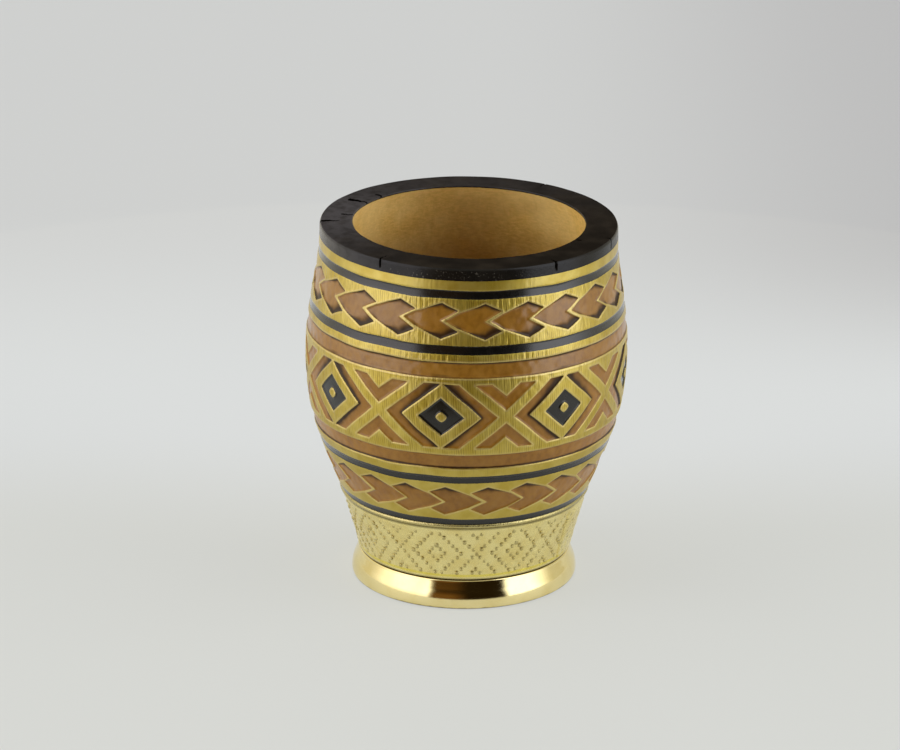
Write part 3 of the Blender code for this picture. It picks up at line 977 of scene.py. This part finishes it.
def bead_tree():
    """Geometry nodes that set a flat round bead on every point, by the point's own way and size."""
    tree = bpy.data.node_groups.new("punched_beads", "GeometryNodeTree")
    face = tree.interface
    face.new_socket("Geometry", in_out="INPUT", socket_type="NodeSocketGeometry")
    for title in ("Bead Radius", "Bead Height", "Unevenness"):
        face.new_socket(title, in_out="INPUT", socket_type="NodeSocketFloat")
    face.new_socket("Finish", in_out="INPUT", socket_type="NodeSocketMaterial")
    face.new_socket("Geometry", in_out="OUTPUT", socket_type="NodeSocketGeometry")
    nodes = Nodes(tree)
    given = nodes.add("NodeGroupInput").outputs
    bead = nodes.add("GeometryNodeMeshUVSphere", {"Segments": 16, "Rings": 12, "Radius": 1.0}).outputs["Mesh"]
    way = nodes.add("GeometryNodeInputNamedAttribute", {"Name": "way"}, data_type="FLOAT_VECTOR").outputs[0]
    turn = nodes.add("FunctionNodeAlignRotationToVector", {"Vector": way}, axis="Z").outputs[0]
    least = nodes.math("SUBTRACT", 1.0, given["Unevenness"])
    most = nodes.math("ADD", 1.0, given["Unevenness"])
    random = nodes.add("FunctionNodeRandomValue", {"Seed": 7}, data_type="FLOAT")
    nodes.put(random.inputs[2], least)
    nodes.put(random.inputs[3], most)
    own = nodes.add("GeometryNodeInputNamedAttribute", {"Name": "size"}, data_type="FLOAT").outputs[0]
    wide = nodes.math("MULTIPLY", given["Bead Radius"], nodes.math("MULTIPLY", random.outputs[1], own))
    size = nodes.add("ShaderNodeCombineXYZ", {0: wide, 1: wide, 2: given["Bead Height"]}).outputs[0]
    inputs = {"Points": given["Geometry"], "Instance": bead, "Rotation": turn, "Scale": size}
    beads = nodes.add("GeometryNodeInstanceOnPoints", inputs).outputs[0]
    real = nodes.add("GeometryNodeRealizeInstances", {"Geometry": beads}).outputs[0]
    smooth = nodes.add("GeometryNodeSetShadeSmooth", {"Geometry": real}).outputs[0]
    done = nodes.add("GeometryNodeSetMaterial", {"Geometry": smooth, "Material": given["Finish"]}).outputs[0]
    nodes.add("NodeGroupOutput", {"Geometry": done})
    return tree


def punch_beads(look, material):
    """The beads as one plain mesh, made by the tree and then freed of it."""
    places, ways, sizes = bead_places()
    mesh = new_mesh("punched_beads", places.tolist(), [])
    way = mesh.attributes.new("way", "FLOAT_VECTOR", "POINT")
    way.data.foreach_set("vector", ways.astype(np.float32).ravel())
    size = mesh.attributes.new("size", "FLOAT", "POINT")
    size.data.foreach_set("value", sizes.astype(np.float32))
    seeds = add_object("bead_places", mesh)
    tree = bead_tree()
    modifier = seeds.modifiers.new("beads", "NODES")
    modifier.node_group = tree
    values = {
        "Bead Radius": look.bead_radius,
        "Bead Height": look.bead_height,
        "Unevenness": look.bead_unevenness,
        "Finish": material,
    }
    for socket in tree.interface.items_tree:
        if socket.in_out == "INPUT" and socket.name in values:
            modifier[socket.identifier] = values[socket.name]
    graph = bpy.context.evaluated_depsgraph_get()
    beads = bpy.data.meshes.new_from_object(seeds.evaluated_get(graph))
    bpy.data.objects.remove(seeds)
    bpy.data.node_groups.remove(tree)
    return add_object("collar_beads", beads)


def make_foot():
    """The polished foot: a flared wall round a floor, hollowed a little underneath."""
    upper, lower = FOOT_WALL[0][0] - FOOT_ROUND, FOOT_WALL[-1][0]
    wall = [(smooth_curve(FOOT_WALL, z), z) for z in np.linspace(upper, lower, 60)]
    top = [(0.0, FOOT_FLOOR), (FOOT_INNER, FOOT_FLOOR), (FOOT_INNER, FOOT_WALL[0][0] - 0.2)]
    top += [(FOOT_INNER + 0.2, FOOT_WALL[0][0])]
    top += arc_points((wall[0][0] - FOOT_ROUND, upper), FOOT_ROUND, 90, 20, 8)
    sole = [(FOOT_SOLE[1], 0.0), (FOOT_SOLE[0], 0.0), (FOOT_SOLE[0] - 0.4, FOOT_RECESS), (0.0, FOOT_RECESS)]
    return make_rings("polished_foot", upright(*turned(top + wall + sole, 420)), wrap=False, sharp=35)


def world_light(look):
    """A soft studio round the cup: pale all over, a bright panel at each side and a dim opening in front."""
    world = bpy.data.worlds.new("soft_studio")
    bpy.context.scene.world = world
    world.use_nodes = True
    nodes = Nodes(world.node_tree)
    x, y, z = nodes.split(nodes.add("ShaderNodeTexCoord").outputs["Generated"])
    turn = nodes.turn(x, y)
    rise = nodes.math("DEGREES", nodes.math("ARCSINE", z))

    def panel(centre, half, low, top, soft):
        off = nodes.math("ABSOLUTE", nodes.minus(turn, centre))
        aside = nodes.ease(off, half + soft, half - soft)
        above = nodes.ease(rise, low - soft, low + soft)
        below = nodes.ease(rise, top + soft, top - soft)
        return nodes.times(aside, nodes.times(above, below))

    def grey(light):
        return [light * share for share in LIGHT_TINT]

    sky = nodes.mix(nodes.ease(rise, *TOP_FADE), grey(look.base_light), grey(look.top_light))
    for place, light in (
        (LEFT_WALL, look.left_wall),
        (RIGHT_WALL, look.right_wall),
        (LEFT_PANEL, look.left_light),
        (RIGHT_PANEL, look.right_light),
    ):
        sky = nodes.mix(panel(*place), sky, grey(light))
    background = next(node for node in world.node_tree.nodes if node.type == "BACKGROUND")
    nodes.put(background.inputs["Color"], nodes.mix(panel(*FRONT_OPENING), sky, look.front_light))


def make_floor(look):
    """A large plain pale floor that glows, with painted light near the cup and in a band behind it, and
    painted shade far back at the right.
    """
    corners = [(x * FLOOR_REACH, y * FLOOR_REACH, 0) for x, y in ((-1, -1), (1, -1), (1, 1), (-1, 1))]
    floor = add_object("studio_floor", new_mesh("studio_floor", corners, [(0, 1, 2, 3)]))
    material, nodes, shader = new_finish("pale_floor")
    x, y, _ = nodes.places()
    # Painted light: brighter near the cup, where its shadow falls.
    colour = nodes.mix(nodes.ease(y, *NEAR_FADE), look.near_floor_light, look.floor)
    # Painted light in a band behind the cup.
    band = nodes.times(nodes.ease(y, *BAND_FADES[0]), nodes.ease(y, *BAND_FADES[1]))
    colour = nodes.mix(band, colour, look.floor_band_light)
    # Painted shade far back at the right.
    dim = nodes.times(nodes.ease(x, *DIM_FADES[0]), nodes.ease(y, *DIM_FADES[1]))
    colour = nodes.mix(dim, colour, look.floor_shade)
    nodes.fill(shader, {
        "Base Color": colour,
        "Emission Color": colour,
        "Emission Strength": look.floor_glow,
        "Roughness": 0.6,
        "Specular IOR Level": 0.1,
    })
    floor.data.materials.append(material)


def arc_card(name, first, last, inner, outer):
    """A card seen only in the gloss, between two turns round the cup and two (radius, height) in metres."""
    turns = np.linspace(first, last, CARD_POINTS)
    points = [tuple(upright(turn, *edge) / MM) for turn in turns for edge in (inner, outer)]
    faces = [(2 * step, 2 * step + 2, 2 * step + 3, 2 * step + 1) for step in range(len(turns) - 1)]
    card = add_object(name, new_mesh(name, points, faces))
    material, nodes, shader = new_finish(name)
    output = next(node for node in material.node_tree.nodes if node.type == "OUTPUT_MATERIAL")
    glow = nodes.add("ShaderNodeEmission")
    nodes.put(output.inputs["Surface"], glow.outputs[0])
    material.node_tree.nodes.remove(shader)
    card.data.materials.append(material)
    for ray in ("camera", "diffuse", "shadow", "transmission"):
        setattr(card, f"visible_{ray}", False)
    return nodes, glow.inputs["Color"]


def mirrored_room(look):
    """The round wall of the studio that the gloss mirrors: bright sides and a soft dark opening in front."""
    edges = (MIRRORED_REACH, 0.0), (MIRRORED_REACH, WALL_TOP)
    nodes, glow = arc_card("mirrored_room", -WALL_TURN, WALL_TURN, *edges)
    x, y, up = nodes.places()
    turn = nodes.turn(x, y)
    wall = nodes.mix(nodes.ease(turn, *SIDES_FADE), look.left_bright, look.right_bright)
    wall = nodes.mix(nodes.ease(turn, *FAR_LEFT_FADE), wall, look.left_side)
    wall = nodes.mix(nodes.ease(turn, *FAR_RIGHT_FADE), wall, look.right_side)
    low_left = nodes.times(nodes.ease(turn, *LOW_LEFT_FADES[0]), nodes.ease(up, *LOW_LEFT_FADES[1], 0, 0.3))
    wall = nodes.mix(low_left, wall, look.above)
    wall = nodes.mix(nodes.ease(nodes.math("ABSOLUTE", turn), *BEHIND_FADE), wall, look.left_side)
    above = nodes.times(nodes.ease(turn, *ABOVE_FADES[0]), nodes.ease(turn, *ABOVE_FADES[1]))
    wall = nodes.mix(above, wall, look.above)
    aside = nodes.math("ABSOLUTE", nodes.minus(turn, OPENING_MIDDLE[0]))
    aside = nodes.math("DIVIDE", aside, OPENING_HALF[0])
    rise = nodes.math("DIVIDE", nodes.minus(up, OPENING_MIDDLE[1], clamp=True), OPENING_HALF[1])
    off = nodes.plus(*[nodes.math("POWER", share, OPENING_POWER) for share in (aside, rise)])
    warmth = nodes.times(nodes.ease(turn, *WARM_FADES[0]), nodes.ease(up, *WARM_FADES[1]))
    room = nodes.mix(warmth, look.room, look.warm_room)
    nodes.put(glow, nodes.mix(nodes.ease(off, *OPENING_FADE), wall, room))


def add_camera():
    """The photograph's camera, from where the foot shows in the picture and how far down it looks."""
    pitch, roll = math.radians(CAMERA_PITCH), math.radians(CAMERA_ROLL)
    c, s = math.cos(pitch), math.sin(pitch)
    level = Matrix(((1, 0, 0), (0, -s, -c), (0, c, -s)))
    rolled = Matrix(((math.cos(roll), -math.sin(roll), 0), (math.sin(roll), math.cos(roll), 0), (0, 0, 1)))
    right, down, forward = rolled @ level
    column, row = FOOT_PIXEL
    seen = Vector(((column - PICTURE[0] / 2) / FOCAL_PIXELS, (row - PICTURE[1] / 2) / FOCAL_PIXELS, 1))
    place = (right * seen.x + down * seen.y + forward * seen.z) * -CAMERA_DISTANCE * MM
    data = bpy.data.cameras.new("photo_camera")
    data.sensor_width = SENSOR
    data.lens = FOCAL_PIXELS * SENSOR / PICTURE[0]
    camera = add_object("photo_camera", data)
    camera.matrix_world = Matrix.Translation(place) @ Matrix((right, -down, -forward)).transposed().to_4x4()
    bpy.context.scene.camera = camera


def tint(name, description, default, most=1.0):
    words = {"name": name, "description": description, "default": default}
    return FloatVectorProperty(**words, subtype="COLOR", size=3, min=0, max=most)


def length(name, description, default):
    words = {"name": name, "description": description, "default": default}
    return FloatProperty(**words, unit="LENGTH", subtype="DISTANCE", precision=5)


def amount(name, description, default, most=10.0):
    return FloatProperty(name=name, description=description, default=default, min=0, max=most)


class CarvedSkinLook(bpy.types.PropertyGroup):
    carving_depth: length("Carving Depth", "How deep the bare motifs are cut", 0.00052)
    stroke_depth: length("Stroke Depth", "How deep the tool's strokes in the gilt are", 0.00005)
    gilt: tint("Gilt", "The gold paint where it is clean", (0.56, 0.435, 0.092))
    gilt_deep: tint("Deep Gilt", "The gold paint where it is thick", (0.465, 0.34, 0.044))
    # Painted shade in the tool lines of the gilt.
    gilt_tool_line_shade: tint("Gilt in Tool Lines", "The gold paint down in the tool lines", (0.20, 0.125, 0.012))
    # A painted highlight along the gilt's raised edges.
    gilt_edge_highlight: tint("Gilt on Edges", "The gold paint rubbed bright along the edges", (0.72, 0.58, 0.30))
    wood: tint("Bare Gourd", "The bare, stained gourd", (0.270, 0.116, 0.006))
    wood_dark: tint("Dark Gourd", "The darker grain of the bare gourd", (0.172, 0.063, 0.001))
    wood_pale: tint("Pale Gourd", "The paler patches of the bare gourd", (0.375, 0.185, 0.026))
    burnt: tint("Burnt Edge", "The scorched edges of the motifs", (0.030, 0.011, 0.002))
    lacquer: tint("Lacquer", "The black rings and diamonds", (0.003, 0.003, 0.003))
    lacquer_worn: tint("Worn Lacquer", "The lacquer where it is rubbed", (0.011, 0.010, 0.009))


class RimLook(bpy.types.PropertyGroup):
    split_depth: length("Split Depth", "How deep the longest splits go", 0.0009)
    lacquer: tint("Rim Lacquer", "The rim's black", (0.006, 0.005, 0.004))
    lacquer_brown: tint("Brown Lacquer", "The rim where the brown shows through", (0.028, 0.022, 0.016))
    # A painted sheen on the rim, lighter towards the left.
    lacquer_sheen: tint("Grey Lacquer", "The rim's top where it has gone grey", (0.068, 0.062, 0.063))
    dust: tint("Chips", "The pale specks on the rim's side", (0.30, 0.27, 0.22))


class CavityLook(bpy.types.PropertyGroup):
    inside: tint("Inside", "The scraped inside", (0.70, 0.435, 0.106))
    inside_dark: tint("Inside Fibres", "The darker fibres of the inside", (0.57, 0.35, 0.073))
    # Painted shade low in the inside.
    inside_low_shade: tint("Low Inside", "The darker bottom of the inside", (0.19, 0.075, 0.002))
    inside_pale: tint("Pale Inside", "The paler patches of the inside", (0.77, 0.56, 0.22))


class MetalLook(bpy.types.PropertyGroup):
    metal: tint("Foot", "The polished foot", (0.94, 0.80, 0.40))
    metal_deep: tint("Deep Foot", "The foot where its colour is deeper", (0.88, 0.72, 0.31))
    sheet: tint("Sheet", "The collar's stamped sheet", (0.87, 0.75, 0.33))
    sheet_deep: tint("Deep Sheet", "The sheet where its colour is deeper", (0.81, 0.67, 0.26))
    seam: tint("Seam", "The yellow line where the collar meets the foot", (0.80, 0.66, 0.06))
    # Painted shade on the metal: in the collar's creases, dimples and bead, on the punched beads and along the
    # foot's bottom edge.
    painted_metal_shade: tint("Tarnish", "The metal dulled in its folds", (0.16, 0.13, 0.05))
    lap_share: amount("Lap", "How far the lapped seam stands out", 1.0, 1.0)
    bead_radius: length("Bead Radius", "The radius of a punched bead", 0.00046)
    bead_height: length("Bead Height", "How thick a bead is from its middle", 0.00021)
    bead_unevenness: amount("Unevenness", "How much the beads vary", 0.18, 1.0)


class StageLook(bpy.types.PropertyGroup):
    base_light: amount("Base Light", "The light from all round", 0.10)
    top_light: amount("Top Light", "The light from overhead", 0.72)
    left_wall: amount("Left Wall", "The wall at the left", 1.5)
    right_wall: amount("Right Wall", "The wall at the right", 1.1)
    left_light: amount("Left Panel", "The panel at the left", 5.1)
    right_light: amount("Right Panel", "The panel at the right", 4.2)
    front_light: tint("Front Opening", "The dim room in front", (0.045, 0.022, 0.006))
    # Painted shade that the gloss mirrors on the floor in front.
    front_floor_shade: tint("Front Floor", "The dim floor in front", (0.15, 0.09, 0.02))
    left_bright: tint("Left Mirrored", "What the gloss mirrors at the left", (1.75, 1.7, 1.8), 9.0)
    right_bright: tint("Right Mirrored", "What the gloss mirrors at the right", (2.0, 2.05, 2.2), 9.0)
    left_side: tint("Left Side", "What the gloss mirrors far left", (0.82, 0.78, 0.66), 9.0)
    right_side: tint("Right Side", "What the gloss mirrors far right", (0.62, 0.60, 0.50), 9.0)
    above: tint("Above Opening", "What the gloss mirrors above the opening", (0.42, 0.40, 0.30))
    room: tint("Dark Room", "The dark room in the opening", (0.014, 0.008, 0.002))
    warm_room: tint("Warm Room", "The warm side of the dark room", (0.14, 0.066, 0.017))
    floor_glow: amount("Floor Glow", "The light that comes up through the floor", 2.6)
    floor: tint("Floor", "The plain floor", (0.175, 0.177, 0.175))
    # Painted light and shade on the floor: lighter near the cup and in a band behind it, darker far back at
    # the right.
    near_floor_light: tint("Near Floor", "The floor under and before the cup", (0.186, 0.189, 0.182))
    floor_band_light: tint("Floor Band", "The brighter band behind the cup", (0.193, 0.198, 0.198))
    floor_shade: tint("Dim Floor", "The floor far back at the right", (0.144, 0.144, 0.144))


class GourdCupLook(bpy.types.PropertyGroup):
    skin: PointerProperty(type=CarvedSkinLook)
    rim: PointerProperty(type=RimLook)
    cavity: PointerProperty(type=CavityLook)
    metal: PointerProperty(type=MetalLook)
    stage: PointerProperty(type=StageLook)


class GOURDCUP_OT_skin(bpy.types.Operator):
    """Make the carved skin, band by band"""

    bl_idname = "gourd_cup.skin"
    bl_label = "Carved Skin"

    def execute(self, context):
        look = context.scene.gourd_cup.skin
        finish = carved_finish(look)
        for name, low, top, spacing in BANDS:
            piece = make_band(name, low, top, spacing, look.carving_depth / MM)
            attach(piece, [finish], "gourd")
        return {"FINISHED"}


class GOURDCUP_OT_rim(bpy.types.Operator):
    """Make the black rim with its splits"""

    bl_idname = "gourd_cup.rim"
    bl_label = "Rim"

    def execute(self, context):
        look = context.scene.gourd_cup.rim
        side = lacquer_finish(look, "glossy_rim_side", glossy=True)
        top = lacquer_finish(look, "dull_rim_top", glossy=False)
        attach(make_rim(look), [side, top], "gourd")
        return {"FINISHED"}


class GOURDCUP_OT_cavity(bpy.types.Operator):
    """Make the scraped inside of the gourd"""

    bl_idname = "gourd_cup.cavity"
    bl_label = "Inside"

    def execute(self, context):
        look = context.scene.gourd_cup.cavity
        attach(make_cavity(), [cavity_finish(look)], "gourd")
        return {"FINISHED"}


class GOURDCUP_OT_collar(bpy.types.Operator):
    """Make the stamped collar and its rows of punched beads"""

    bl_idname = "gourd_cup.collar"
    bl_label = "Collar"

    def execute(self, context):
        look = context.scene.gourd_cup.metal
        sheet = stamped_finish(look, "stamped_gold_sheet", dull_and_shade=0.0)
        # The beads are rougher and darkened with painted shade.
        beads = stamped_finish(look, "shaded_dull_gold_beads", dull_and_shade=0.5)
        attach(make_collar(look), [sheet], "collar")
        attach(punch_beads(look, beads), [beads], "collar")
        return {"FINISHED"}


class GOURDCUP_OT_foot(bpy.types.Operator):
    """Make the polished foot"""

    bl_idname = "gourd_cup.foot"
    bl_label = "Foot"

    def execute(self, context):
        look = context.scene.gourd_cup.metal
        attach(make_foot(), [polished_finish(look)], "foot")
        return {"FINISHED"}


class GOURDCUP_OT_stage(bpy.types.Operator):
    """Lay the floor, light the studio and set up the camera"""

    bl_idname = "gourd_cup.stage"
    bl_label = "Stage"

    def execute(self, context):
        look = context.scene.gourd_cup.stage
        world_light(look)
        make_floor(look)
        mirrored_room(look)
        # A dark card over the floor in front, seen only in the gloss: painted shade that the gloss mirrors
        # where the floor lies in shade.
        first, last, near = DIM_FLOOR
        nodes, glow = arc_card("dim_floor", first, last, (near, CARD_LIFT), (MIRRORED_REACH, CARD_LIFT))
        nodes.put(glow, look.front_floor_shade)
        add_camera()
        context.scene.view_settings.view_transform = "Standard"
        return {"FINISHED"}


class GOURDCUP_PT_panel(bpy.types.Panel):
    """Lists the pieces and what can be changed on each"""

    bl_idname = "GOURDCUP_PT_panel"
    bl_label = "Carved Gourd Cup"
    bl_space_type = "VIEW_3D"
    bl_region_type = "UI"
    bl_category = "Gourd Cup"

    def draw(self, context):
        looks = context.scene.gourd_cup
        for operator, title in STEPS:
            box = self.layout.box()
            box.operator(f"gourd_cup.{operator}")
            group = getattr(looks, title)
            for name in group.__annotations__:
                box.prop(group, name)


STEPS = (
    ("stage", "stage"),
    ("skin", "skin"),
    ("rim", "rim"),
    ("cavity", "cavity"),
    ("collar", "metal"),
    ("foot", "metal"),
)
CLASSES = (
    CarvedSkinLook,
    RimLook,
    CavityLook,
    MetalLook,
    StageLook,
    GourdCupLook,
    GOURDCUP_OT_skin,
    GOURDCUP_OT_rim,
    GOURDCUP_OT_cavity,
    GOURDCUP_OT_collar,
    GOURDCUP_OT_foot,
    GOURDCUP_OT_stage,
    GOURDCUP_PT_panel,
)


def register():
    for each in CLASSES:
        bpy.utils.register_class(each)
    bpy.types.Scene.gourd_cup = PointerProperty(type=GourdCupLook)


def unregister():
    del bpy.types.Scene.gourd_cup
    for each in reversed(CLASSES):
        bpy.utils.unregister_class(each)


def main():
    register()
    for operator, _ in STEPS:
        getattr(bpy.ops.gourd_cup, operator)()
    bpy.context.view_layer.update()


if __name__ == "__main__":
    main()
